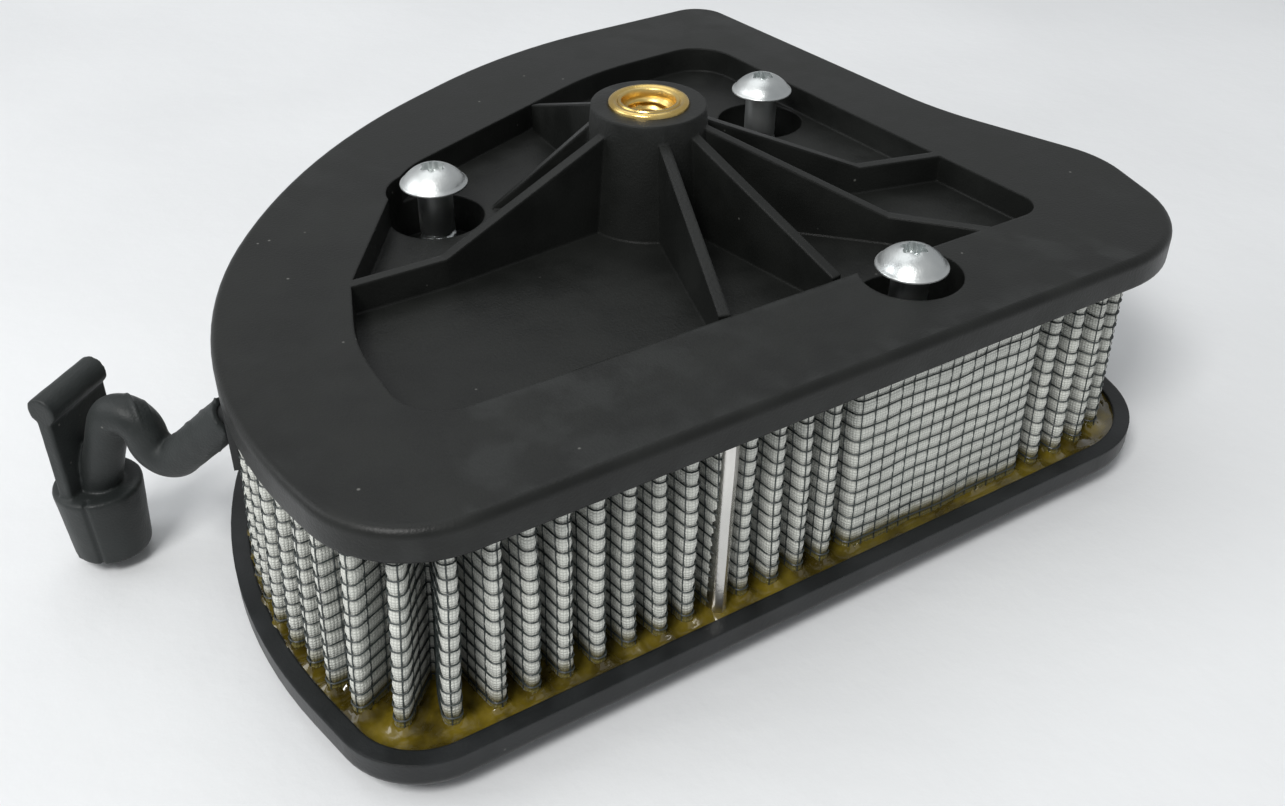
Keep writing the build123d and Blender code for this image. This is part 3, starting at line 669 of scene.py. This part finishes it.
@dataclass
class PleatedPack:
    """Gauze folded between two wire screens, with rounded folds and slightly uneven pleats."""

    finishes: Finishes
    fold_round: float = 1.15 * MM
    near_reach: float = 4.0 * MM
    pleat_depth: float = 8.0 * MM
    point_step: float = 1.3 * MM
    wire_pitch: float = 2.4 * MM
    wire_radius: float = 0.15 * MM
    outer_wire_offset: float = 0.12 * MM
    inner_wire_offset: float = -0.72 * MM
    gauze_outside: float = -0.2 * MM
    gauze_inside: float = -0.55 * MM
    bulge: float = 0.3 * MM
    levels_per_wire: int = 4
    wander: float = 0.42 * MM
    foot_flare: float = 0.008
    left_lean: float = 1.3 * MM
    lean_from: float = -0.05
    lean_over: float = 0.025
    path: list[Point] = field(default_factory=list)
    normals: list[Point] = field(default_factory=list)
    runs: list[float] = field(default_factory=list)
    depths: list[float] = field(default_factory=list)

    def build(self) -> None:
        """Builds the gauze and both screens."""
        low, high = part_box("pleated_media")
        self.bottom, self.top = low.z - 0.6 * MM, high.z + 0.8 * MM
        self.centre = ((low.x + high.x) / 2, (low.y + high.y) / 2)
        self._read_path()
        gauze = self._gauze()
        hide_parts("pleated_media")
        outer = self._screen("outer_wire_screen", self.outer_wire_offset, 1)
        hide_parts("outer_screen")
        inner = self._screen("inner_wire_screen", self.inner_wire_offset, 2)
        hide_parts("inner_screen")

    def _read_path(self) -> None:
        """Reads the folds from the CAD media and rounds them."""
        corners = loops_of("pleated_media", Side.BOTTOM)[0]
        kept = [p for p, q in zip(corners, corners[1:] + corners[:1]) if math.dist(p, q) > 0.05 * MM]
        rounded = []
        for index, here in enumerate(kept):
            before, after = kept[index - 1], kept[(index + 1) % len(kept)]
            back, ahead = Vector(before) - Vector(here), Vector(after) - Vector(here)
            turn = back.angle(ahead, math.pi)
            if turn > math.pi - 0.06:
                rounded.append(here)
                continue
            reach = min(self.fold_round, 0.48 * back.length, 0.48 * ahead.length)
            first = Vector(here) + back.normalized() * reach
            last = Vector(here) + ahead.normalized() * reach
            for share in (0.0, 0.33, 0.67, 1.0):
                spot = first * (1 - share) ** 2 + Vector(here) * 2 * share * (1 - share) + last * share ** 2
                rounded.append((spot.x, spot.y))
        for first, last in zip(rounded, rounded[1:] + rounded[:1]):
            parts = max(1, math.ceil(math.dist(first, last) / self.point_step))
            for part in range(parts):
                share = part / parts
                x = first[0] + (last[0] - first[0]) * share
                y = first[1] + (last[1] - first[1]) * share
                self.path.append((x, y))
        count = len(self.path)
        total = 0.0
        for index in range(count):
            (ax, ay), (bx, by) = self.path[index - 1], self.path[(index + 1) % count]
            length = math.hypot(bx - ax, by - ay)
            self.normals.append(((by - ay) / length, (ax - bx) / length))
            self.runs.append(total)
            total += math.dist(self.path[index], self.path[(index + 1) % count])
        self._read_depths()

    def _read_depths(self) -> None:
        """Finds how deep in the pleats each path point lies, from 0 at the tips to 1 in the valleys, for the
        gauze's painted shade.
        """
        rim = tree_of(spaced(loops_of("upper_potting", Side.TOP)[0], 1.0 * MM))
        gaps = [rim.find((x, y, 0.0))[2] for x, y in self.path]
        for gap, (x, y) in zip(gaps, self.path):
            near = min(
                other for other, (ox, oy) in zip(gaps, self.path)
                if abs(ox - x) < self.near_reach and abs(oy - y) < self.near_reach
            )
            self.depths.append(min(1.0, max(0.0, (gap - near) / self.pleat_depth)))

    def _spot(self, index: float, z: float, offset: float) -> tuple[float, float, float]:
        """A place on the pack.

        Args:
            index: The number of the path point, which may be a fraction.
            z: The height.
            offset: How far outside the path it is.

        Returns:
            The place.
        """
        first = int(index) % len(self.path)
        second, share = (first + 1) % len(self.path), index - int(index)
        x = self.path[first][0] * (1 - share) + self.path[second][0] * share
        y = self.path[first][1] * (1 - share) + self.path[second][1] * share
        nx = self.normals[first][0] * (1 - share) + self.normals[second][0] * share
        ny = self.normals[first][1] * (1 - share) + self.normals[second][1] * share
        uneven = noise.noise_vector(Vector((x * 140, y * 140, z * 45))) * self.wander
        low_share = 1 - (z - self.bottom) / (self.top - self.bottom)
        flare = self.foot_flare * low_share
        lean = self.left_lean * low_share * min(1.0, max(0.0, (self.lean_from - x) / self.lean_over))
        x += nx * offset + uneven.x + (x - self.centre[0]) * flare - lean
        y += ny * offset + uneven.y + (y - self.centre[1]) * flare
        return x, y, z

    def _gauze(self) -> bpy.types.Object:
        """The gauze, which swells between the wires of the outer screen.

        Returns:
            The piece.
        """
        rows = math.ceil((self.top - self.bottom) / self.wire_pitch * self.levels_per_wire)
        count = len(self.path)
        points, runs, depths = [], [], []
        for row in range(rows + 1):
            z = self.bottom + (self.top - self.bottom) * row / rows
            swell = abs(math.sin(math.pi * (z - self.bottom) / self.wire_pitch))
            for index in range(count):
                points.append(self._spot(index, z, self.gauze_outside + self.bulge * swell))
                runs.append(self.runs[index])
                depths.append(self.depths[index])
        inner_rows = rows // self.levels_per_wire
        start = len(points)
        for row in range(inner_rows + 1):
            z = self.top + (self.bottom - self.top) * row / inner_rows
            for index in range(count):
                points.append(self._spot(index, z, self.gauze_inside))
                runs.append(self.runs[index])
                # The inside of the gauze gets the painted shade reversed, darkest behind the outer tips.
                depths.append(1.0 - self.depths[index])
        faces = grid_faces(rows + inner_rows + 2, count)
        last = start + inner_rows * count
        for index in range(count):
            after = (index + 1) % count
            faces.append((last + index, last + after, after, index))
        piece = add_piece("pleated_gauze", points, faces, self.finishes.gauze)
        # The depth attribute carries the painted valley shade to the gauze finish.
        for name, values in (("run", runs), ("depth", depths)):
            layer = piece.data.attributes.new(name, "FLOAT", "POINT")
            layer.data.foreach_set("value", values)
        return piece

    def _screen(self, name: str, offset: float, stride: int) -> bpy.types.Object:
        """A screen of level and upright wires that follows the pleats.

        Args:
            name: The piece's name.
            offset: How far outside the path the wires lie.
            stride: Every how many path points a level wire has one of its own.

        Returns:
            The piece.
        """
        points, faces = [], []
        radius = self.wire_radius
        rim = [(1, 0), (0, 1), (-1, 0), (0, -1)]
        count = len(self.path) // stride
        level = self.bottom + self.wire_pitch * 1.0
        while level < self.top - 0.5 * MM:
            start = len(points)
            for step in range(count):
                index = step * stride
                x, y, _ = self.path[index] + (0.0,)
                sag = noise.noise(Vector((x * 170, y * 170, level * 900))) * 0.28 * MM
                for out, up in rim:
                    points.append(self._spot(index, level + sag + up * radius, offset + out * radius))
            for step in range(count):
                after = (step + 1) % count
                for corner in range(4):
                    beside = (corner + 1) % 4
                    a, b = start + step * 4, start + after * 4
                    faces.append((a + corner, b + corner, b + beside, a + beside))
            level += self.wire_pitch
        total = self.runs[-1]
        uprights = round(total / self.wire_pitch)
        index, rows = 0, 9
        generator = random.Random(7)
        for upright in range(uprights):
            target = (upright + 0.3 * generator.random()) * total / uprights
            while index + 1 < len(self.runs) and self.runs[index + 1] < target:
                index += 1
            gap = (self.runs[index + 1] - self.runs[index]) if index + 1 < len(self.runs) else self.point_step
            spot = index + min(0.99, max(0.0, (target - self.runs[index]) / gap))
            start = len(points)
            for row in range(rows):
                z = self.bottom + (self.top - self.bottom) * row / (rows - 1)
                x, y, _ = self._spot(spot, z, offset - 0.5 * radius)
                for out, along in rim:
                    points.append((x + out * radius * 0.9, y + along * radius * 0.9, z))
            for row in range(rows - 1):
                for corner in range(4):
                    beside = (corner + 1) % 4
                    a, b = start + row * 4, start + row * 4 + 4
                    faces.append((a + corner, a + beside, b + beside, b + corner))
            faces.append((start + 3, start + 2, start + 1, start))
            end = start + (rows - 1) * 4
            faces.append((end, end + 1, end + 2, end + 3))
        return add_piece(name, points, faces, self.finishes.wire)


@dataclass
class PottingPool:
    """Amber compound in the pan, drawn up at the wall and round the pleats' feet."""

    finishes: Finishes
    pack: PleatedPack
    cell: float = 0.6 * MM
    overlap: float = 0.7 * MM
    wall_rise: float = 0.5 * MM
    foot_rise: float = 1.3 * MM
    reach: float = 0.8 * MM
    ripple: float = 0.3 * MM
    wave_scale: float = 260.0
    ragged_scale: float = 350.0
    ragged_share: float = 0.3
    thickness: float = 1.9 * MM

    def build(self) -> None:
        """Builds the pool's surface and gives it thickness."""
        loops = loops_of("lower_potting", Side.TOP)
        outside, hole = loops[0], loops[1]
        walls = tree_of(spaced(outside, 0.5 * MM))
        holes = tree_of(spaced(hole, 0.5 * MM))
        pack = self.pack
        feet = tree_of([pack._spot(i, pack.bottom, 0.2 * MM)[:2] for i in range(len(pack.path))])
        low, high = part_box("lower_potting")
        columns = math.ceil((high.x - low.x + 2 * self.overlap) / self.cell)
        rows = math.ceil((high.y - low.y + 2 * self.overlap) / self.cell)
        numbers, points = {}, []

        def corner(column: int, row: int) -> int:
            """The number of a grid point, made when it is first asked for."""
            if (column, row) not in numbers:
                x = low.x - self.overlap + column * self.cell
                y = low.y - self.overlap + row * self.cell
                wall = walls.find((x, y, 0))[2]
                foot = feet.find((x, y, 0))[2]
                wave = noise.noise(Vector((x * self.wave_scale, y * self.wave_scale, 0.3))) * self.ripple
                rise = self.wall_rise * math.exp(-wall / self.reach)
                rise += self.foot_rise * math.exp(-foot / self.reach)
                speck = Vector((x * self.ragged_scale, y * self.ragged_scale, 2.0))
                ragged = 1.0 + self.ragged_share * noise.noise(speck)
                numbers[column, row] = len(points)
                points.append((x, y, high.z + wave * 0.6 + rise * ragged - 0.25 * MM))
            return numbers[column, row]

        faces = []
        for row in range(rows):
            for column in range(columns):
                x = low.x - self.overlap + (column + 0.5) * self.cell
                y = low.y - self.overlap + (row + 0.5) * self.cell
                within = inside(outside, x, y) or walls.find((x, y, 0))[2] < self.overlap
                kept = not inside(hole, x, y) or holes.find((x, y, 0))[2] < self.overlap
                if within and kept:
                    corners = [(column, row), (column + 1, row), (column + 1, row + 1), (column, row + 1)]
                    faces.append(tuple(corner(*spot) for spot in corners))
        piece = add_piece("potting_pool", points, faces, self.finishes.potting)
        solid = piece.modifiers.new("solid", "SOLIDIFY")
        solid.thickness = self.thickness
        solid.offset = -1.0
        settle(piece)
        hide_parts("lower_potting")


def settle(piece: bpy.types.Object) -> None:
    """Applies a piece's modifiers to its mesh.

    Args:
        piece: The object.
    """
    graph = bpy.context.evaluated_depsgraph_get()
    mesh = bpy.data.meshes.new_from_object(piece.evaluated_get(graph))
    piece.modifiers.clear()
    piece.data = mesh
    mesh.polygons.foreach_set("use_smooth", [True] * len(mesh.polygons))


@dataclass
class BreatherBoot:
    """Moulded rubber tube with an S bend, its cup and its pull tab, cast in one."""

    finishes: Finishes
    voxel: float = 0.27 * MM
    smoothing: int = 8
    texture: float = 0.05 * MM
    texture_scale: float = 420.0
    groove_depth: float = 0.35 * MM
    groove_half: float = 0.35 * MM
    groove_heading: float = 238.0
    groove_top: float = 13 * MM
    groove_inside: float = 5 * MM
    flash_height: float = 0.35 * MM

    def build(self) -> None:
        """Builds the boot from its two CAD solids."""
        joined = bmesh.new()
        for node in ("breather_tube", "breather_cup"):
            joined.from_mesh(frame["nodes"][node].data)
        bmesh.ops.remove_doubles(joined, verts=joined.verts, dist=0.001 * MM)
        mesh = bpy.data.meshes.new("breather_boot")
        joined.to_mesh(mesh)
        joined.free()
        mesh.materials.clear()
        mesh.materials.append(self.finishes.rubber)
        piece = bpy.data.objects.new("breather_boot", mesh)
        bpy.context.scene.collection.objects.link(piece)
        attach(piece, ROOT_BODY)
        remesh = piece.modifiers.new("remesh", "REMESH")
        remesh.mode = "VOXEL"
        remesh.voxel_size = self.voxel
        smooth = piece.modifiers.new("smooth", "SMOOTH")
        smooth.iterations = self.smoothing
        smooth.factor = 0.5
        settle(piece)
        self._detail(piece.data)
        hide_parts("breather_tube", "breather_cup")
        LOG.info("piece breather_boot: %d faces", len(piece.data.polygons))

    def _detail(self, mesh: bpy.types.Mesh) -> None:
        """Adds the parting groove, flash bumps and an uneven skin.

        Args:
            mesh: The boot's mesh.
        """
        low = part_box("breather_cup")[0]
        tube_low, tube_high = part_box("breather_tube")
        cup = cup_centre()
        heading = math.radians(self.groove_heading)
        groove = Vector((math.cos(heading), math.sin(heading)))
        across = Vector((-groove.y, groove.x))
        normals = [vertex.normal.copy() for vertex in mesh.vertices]
        moved = []
        for vertex, normal in zip(mesh.vertices, normals):
            place = vertex.co.copy()
            skin = noise.noise(place * self.texture_scale) * self.texture
            flat = Vector((place.x - cup[0], place.y - cup[1]))
            cup_skin = place.z < low.z + self.groove_top and flat.length > self.groove_inside
            if cup_skin and flat.dot(groove) > 0:
                aside = abs(flat.dot(across)) / self.groove_half
                skin -= self.groove_depth * math.exp(-aside ** 2)
            if place.z > tube_high.z - 9 * MM and place.x > tube_low.x + 9 * MM:
                lumps = max(0.0, math.sin(place.x * 3400) * normal.z)
                skin += self.flash_height * lumps ** 3
            moved.extend(place + normal * skin)
        mesh.vertices.foreach_set("co", moved)
        mesh.update()


def cup_centre() -> Point:
    """The axis of the boot's cup, from its place in the record."""
    for mount in frame["record"]["mounts"]:
        if mount["name"] == "breather_mouth":
            return mount["pos_m"][0], mount["pos_m"][1]
    raise LookupError("the record has no breather mouth")


@dataclass
class CaptiveScrew:
    """Domed six-lobe screw with a plain neck and a helical thread."""

    finishes: Finishes
    name: ScrewName
    segments: int = 72
    head_height: float = 3.5 * MM
    neck_length: float = 8.5 * MM
    neck_radius: float = 3.0 * MM
    thread_radius: float = 3.1 * MM
    thread_depth: float = 0.58 * MM
    thread_pitch: float = 1.27 * MM
    socket_radius: float = 2.15 * MM
    socket_depth: float = 1.9 * MM
    edge: float = 0.3 * MM

    def build(self) -> None:
        """Builds the screw in place of its CAD node."""
        node = f"{self.name.value}_screw"
        low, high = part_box(node)
        self.x, self.y = (low.x + high.x) / 2, (low.y + high.y) / 2
        self.tip, self.crown = low.z, high.z
        self.head_radius = (high.x - low.x) / 2
        rings = self._head() + self._shank()
        points = [spot for ring in rings for spot in ring]
        faces = grid_faces(len(rings), self.segments)
        faces = [face[::-1] for face in faces]
        faces.append(tuple(range(self.segments)))
        faces.append(tuple(range((len(rings) - 1) * self.segments, len(rings) * self.segments))[::-1])
        piece = add_piece(f"{node}_detail", points, faces, self.finishes.zinc, node)
        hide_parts(node)

    def _ring(self, radius: object, z: object) -> list[tuple[float, float, float]]:
        """One ring of points.

        Args:
            radius: The radius, or a function of the angle that gives it.
            z: The height, or a function of the angle that gives it.

        Returns:
            The points, anticlockwise.
        """
        ring = []
        for segment in range(self.segments):
            angle = 2 * math.pi * segment / self.segments
            reach = radius(angle) if callable(radius) else radius
            level = z(angle) if callable(z) else z
            ring.append((self.x + reach * math.cos(angle), self.y + reach * math.sin(angle), level))
        return ring

    def _lobes(self, angle: float, growth: float = 1.0) -> float:
        """The socket's six-lobed radius at an angle."""
        return self.socket_radius * growth * (0.87 + 0.13 * math.cos(6 * angle))

    def _dome(self, radius: float) -> float:
        """The height of the domed head at a radius."""
        ball = (self.head_radius ** 2 + self.head_height ** 2) / (2 * self.head_height)
        return self.crown - ball + math.sqrt(max(0.0, ball ** 2 - radius ** 2))

    def _head(self) -> list:
        """Rings from the socket's floor out over the dome and under the head.

        Returns:
            The rings.
        """
        floor = self._dome(0.0) - self.socket_depth
        rings = [self._ring(0.25 * MM, floor - 0.3 * MM)]
        for share in (0.5, 0.85, 0.97):
            rings.append(self._ring(lambda angle, s=share: self._lobes(angle, s), floor))
        rings.append(self._ring(lambda angle: self._lobes(angle), floor + 0.15 * MM))
        brim = 0.12 * MM
        for share, height_share, drop in ((1.0, 1.0, 1.6 * brim), (1.03, 1.0, 0.4 * brim), (1.1, 1.1, 0.0)):
            rings.append(self._ring(
                lambda angle, s=share: self._lobes(angle, s),
                lambda angle, s=height_share, d=drop: self._dome(self._lobes(angle, s)) - d,
            ))
        start = 1.25 * self.socket_radius
        for step in range(10):
            radius = start + (self.head_radius - self.edge - start) * step / 9
            rings.append(self._ring(radius, self._dome(radius)))
        under = self.crown - self.head_height
        rings.append(self._ring(self.head_radius - 0.06 * MM, under + 1.4 * self.edge))
        rings.append(self._ring(self.head_radius, under + self.edge))
        rings.append(self._ring(self.head_radius, under + 0.3 * self.edge))
        rings.append(self._ring(self.head_radius - 0.5 * self.edge, under))
        rings.append(self._ring(self.neck_radius + 0.3 * MM, under))
        return rings

    def _shank(self) -> list:
        """Rings down the neck and the thread to the tip.

        Returns:
            The rings.
        """
        under = self.crown - self.head_height
        neck_end = under - self.neck_length
        rings = [self._ring(self.neck_radius, under - drop * MM) for drop in (0.25, 0.45, 4.0)]
        rings.append(self._ring(self.neck_radius, neck_end))
        steps = round((neck_end - self.tip) / self.thread_pitch * 8)
        for step in range(1, steps):
            z = neck_end + (self.tip - neck_end) * step / steps
            lead_in = 4 * (z - self.tip) / self.thread_pitch + 0.15
            run_out = 2 * (neck_end - z) / self.thread_pitch
            fade = min(1.0, lead_in, run_out)
            rings.append(self._ring(lambda angle, h=z, f=fade: self._thread(angle, h, f), z))
        rings.append(self._ring(self.thread_radius - 1.6 * self.thread_depth, self.tip))
        return rings

    def _thread(self, angle: float, z: float, fade: float) -> float:
        """The radius of the helical thread.

        Args:
            angle: The direction from the axis.
            z: The height.
            fade: 1 for the full thread, 0 at its run-out.

        Returns:
            The radius.
        """
        turn = (z / self.thread_pitch - angle / (2 * math.pi)) % 1.0
        ridge = min(1.0, max(0.0, 1.35 - abs(2 * turn - 1) * 2.0))
        root = self.thread_radius - self.thread_depth
        return root + self.thread_depth * ridge * fade


@dataclass
class CoverInsert:
    """Turned brass bush with a stepped mouth and an internal thread."""

    finishes: Finishes
    segments: int = 96
    chamfer: float = 0.45 * MM
    mouth_radius: float = 4.5 * MM
    mouth_depth: float = 1.4 * MM
    thread_radius: float = 3.97 * MM
    thread_depth: float = 0.5 * MM
    thread_pitch: float = 1.41 * MM
    groove_radius: float = 5.5 * MM

    def build(self) -> None:
        """Builds the bush in place of its CAD node."""
        low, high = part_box("cover_insert")
        outer = (high.x - low.x) / 2
        x, y, top, bottom = (low.x + high.x) / 2, (low.y + high.y) / 2, high.z, low.z
        profile = [
            (outer, bottom), (outer, top - self.chamfer), (outer - 0.15 * MM, top - 0.2 * MM),
            (outer - self.chamfer, top), (self.groove_radius + 0.2 * MM, top),
            (self.groove_radius, top - 0.22 * MM), (self.groove_radius - 0.25 * MM, top - 0.22 * MM),
            (self.groove_radius - 0.4 * MM, top - 0.02 * MM), (self.mouth_radius + 0.2 * MM, top - 0.02 * MM),
            (self.mouth_radius, top - 0.25 * MM), (self.mouth_radius, top - self.mouth_depth),
            (self.thread_radius + 0.1 * MM, top - self.mouth_depth),
        ]
        rings = [[self._spot(x, y, radius, angle, z) for angle in self._angles()] for radius, z in profile]
        inner_top, inner_bottom = top - self.mouth_depth - 0.2 * MM, bottom
        steps = round((inner_top - inner_bottom) / self.thread_pitch * 8)
        for step in range(steps + 1):
            z = inner_top + (inner_bottom - inner_top) * step / steps
            rings.append([self._spot(x, y, self._thread(angle, z), angle, z) for angle in self._angles()])
        points = [spot for ring in rings for spot in ring]
        faces = grid_faces(len(rings), self.segments)
        last = (len(rings) - 1) * self.segments
        for segment in range(self.segments):
            after = (segment + 1) % self.segments
            faces.append((last + segment, last + after, after, segment))
        piece = add_piece("cover_bush", points, faces, self.finishes.brass)
        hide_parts("cover_insert")

    def _angles(self) -> list[float]:
        """Even angles round the bush."""
        return [2 * math.pi * segment / self.segments for segment in range(self.segments)]

    @staticmethod
    def _spot(x: float, y: float, radius: float, angle: float, z: float) -> tuple[float, float, float]:
        """A place at a radius, an angle and a height."""
        return x + radius * math.cos(angle), y + radius * math.sin(angle), z

    def _thread(self, angle: float, z: float) -> float:
        """The radius of the internal thread at an angle and a height."""
        turn = (z / self.thread_pitch - angle / (2 * math.pi)) % 1.0
        return self.thread_radius - self.thread_depth * min(1.0, abs(2 * turn - 1) * 1.25)


@dataclass
class SpliceClip:
    """Bright strip folded over the pleat where the pack's two ends meet, leaning a little."""

    finishes: Finishes
    width: float = 2.5 * MM
    aside: float = 0.35 * MM
    thickness: float = 0.4 * MM
    lean: float = 0.03
    rows: int = 14
    wave: float = 0.12 * MM

    def build(self) -> None:
        """Builds the strip in place of its CAD node."""
        low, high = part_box("splice_clip")
        width, depth = self.width, high.y - low.y
        left = (low.x + high.x - width) / 2 + self.aside
        inner = self.thickness
        bend = 0.7 * MM
        outline = [
            (0.0, depth), (0.0, bend), (0.3 * bend, 0.3 * bend), (bend, 0.0), (width / 2, -0.3 * MM),
            (width - bend, 0.0), (width - 0.3 * bend, 0.3 * bend), (width, bend), (width, depth),
            (width - inner, depth), (width - inner, bend + inner), (width - bend, inner + 0.2 * bend),
            (width / 2, inner), (bend, inner + 0.2 * bend), (inner, bend + inner), (inner, depth),
        ]
        middle = (low.z + high.z) / 2
        points = []
        for row in range(self.rows):
            z = low.z + (high.z - low.z) * row / (self.rows - 1)
            for x, y in outline:
                uneven = noise.noise(Vector((x * 300, 0.0, z * 120))) * self.wave
                points.append((left + x + (z - middle) * self.lean, low.y - 0.35 * MM + y + uneven, z))
        count = len(outline)
        faces = grid_faces(self.rows, count)
        faces.append(tuple(range(count))[::-1])
        faces.append(tuple(range((self.rows - 1) * count, self.rows * count)))
        piece = add_piece("splice_strip", points, faces, self.finishes.clip)
        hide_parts("splice_clip")


@dataclass
class CarriedNodes:
    """CAD solids that keep their shape and get a detailed finish."""

    finishes: Finishes

    def dress(self) -> None:
        """Puts the finishes on the CAD nodes."""
        chosen = {
            "top_plate": self.finishes.plate,
            "bottom_pan": self.finishes.pan,
            "breather_port": self.finishes.port,
            "upper_potting": self.finishes.potting,
            "base_seal": self.finishes.foam,
        }
        for screw in ScrewName:
            chosen[f"{screw.value}_sleeve"] = self.finishes.zinc
            chosen[f"{screw.value}_retainer"] = self.finishes.retainer
        for name, material in chosen.items():
            node = frame["nodes"][name]
            if not node.material_slots:
                node.data.materials.append(material)
            for slot in node.material_slots:
                slot.material = material
            LOG.info("node %s: finish %s", name, material.name)


@dataclass
class Studio:
    """Pale floor, soft lights and the camera."""

    camera_place: tuple[float, float, float] = (-0.1177, -0.1772, 0.1487)
    camera_heading: tuple[float, float, float] = (0.449, 0.680, -0.580)
    camera_roll: float = math.radians(0.51)
    lens: float = 38.4
    floor_half: float = 3.0

    def build(self) -> None:
        """Builds the studio."""
        self._floor()
        self._lights()
        self._camera()

    def _floor(self) -> None:
        """A matt, nearly white floor with faint mottling."""
        half, parts = self.floor_half, 24
        points = [
            (-half + 2 * half * column / parts, -half + 2 * half * row / parts, 0.0)
            for row in range(parts + 1) for column in range(parts + 1)
        ]
        faces = grid_faces(parts + 1, parts + 1, False)
        mesh = bpy.data.meshes.new("floor")
        mesh.from_pydata(points, [], faces)
        paper = Finish(
            "floor_paper", (0.78, 0.79, 0.8), (0.84, 0.85, 0.86), 0.6, 0.1, grain_scale=160.0,
            grain_depth=0.0002
        )
        mesh.materials.append(paper.material())
        floor = bpy.data.objects.new("floor", mesh)
        bpy.context.scene.collection.objects.link(floor)

    def _lights(self) -> None:
        """Soft boxes and an even white surround."""
        scene = bpy.context.scene
        world = bpy.data.worlds.new("surround")
        scene.world = world
        world.use_nodes = True
        sky = world.node_tree.nodes["Background"]
        sky.inputs["Color"].default_value = (0.96, 0.98, 1.0, 1.0)
        sky.inputs["Strength"].default_value = 0.42
        for name, place, size, power, tint in (
            ("key_box", (-0.52, -0.3, 0.8), 0.3, 5.4, (1.0, 0.995, 0.98)),
            ("top_box", (0.05, 0.4, 1.0), 0.8, 2.1, (0.97, 0.99, 1.0)),
            ("left_box", (-0.8, 0.5, 0.6), 0.6, 2.6, (0.97, 0.985, 1.0)),
        ):
            light = bpy.data.lights.new(name, "AREA")
            light.size = size
            light.energy = power
            light.color = tint
            lamp = bpy.data.objects.new(name, light)
            lamp.location = place
            aim = Vector((0.0, 0.0, 0.02)) - Vector(place)
            lamp.rotation_euler = aim.to_track_quat("-Z", "Y").to_euler()
            scene.collection.objects.link(lamp)

    def _camera(self) -> None:
        """The camera at the chosen angle, without depth of field."""
        data = bpy.data.cameras.new("camera")
        data.lens = self.lens
        data.sensor_width = 36.0
        data.clip_start = 0.01
        camera = bpy.data.objects.new("camera", data)
        forward = Vector(self.camera_heading).normalized()
        right = forward.cross(Vector((0, 0, 1))).normalized()
        above = right.cross(forward)
        tilted = right * math.cos(self.camera_roll) + above * math.sin(self.camera_roll)
        above = tilted.cross(forward)
        turn = Matrix((tilted, above, -forward)).transposed()
        camera.matrix_world = Matrix.Translation(self.camera_place) @ turn.to_4x4()
        bpy.context.scene.collection.objects.link(camera)
        bpy.context.scene.camera = camera
        bpy.context.scene.view_settings.view_transform = "Standard"


def main() -> None:
    """Builds every sub-assembly in order."""
    logging.basicConfig(level=logging.INFO, format="%(name)s: %(message)s")
    finishes = Finishes()
    CarriedNodes(finishes).dress()
    pack = PleatedPack(finishes)
    pack.build()
    PottingPool(finishes, pack).build()
    CoverInsert(finishes).build()
    for name in ScrewName:
        CaptiveScrew(finishes, name).build()
    SpliceClip(finishes).build()
    BreatherBoot(finishes).build()
    Studio().build()


if __name__ == "__main__":
    main()
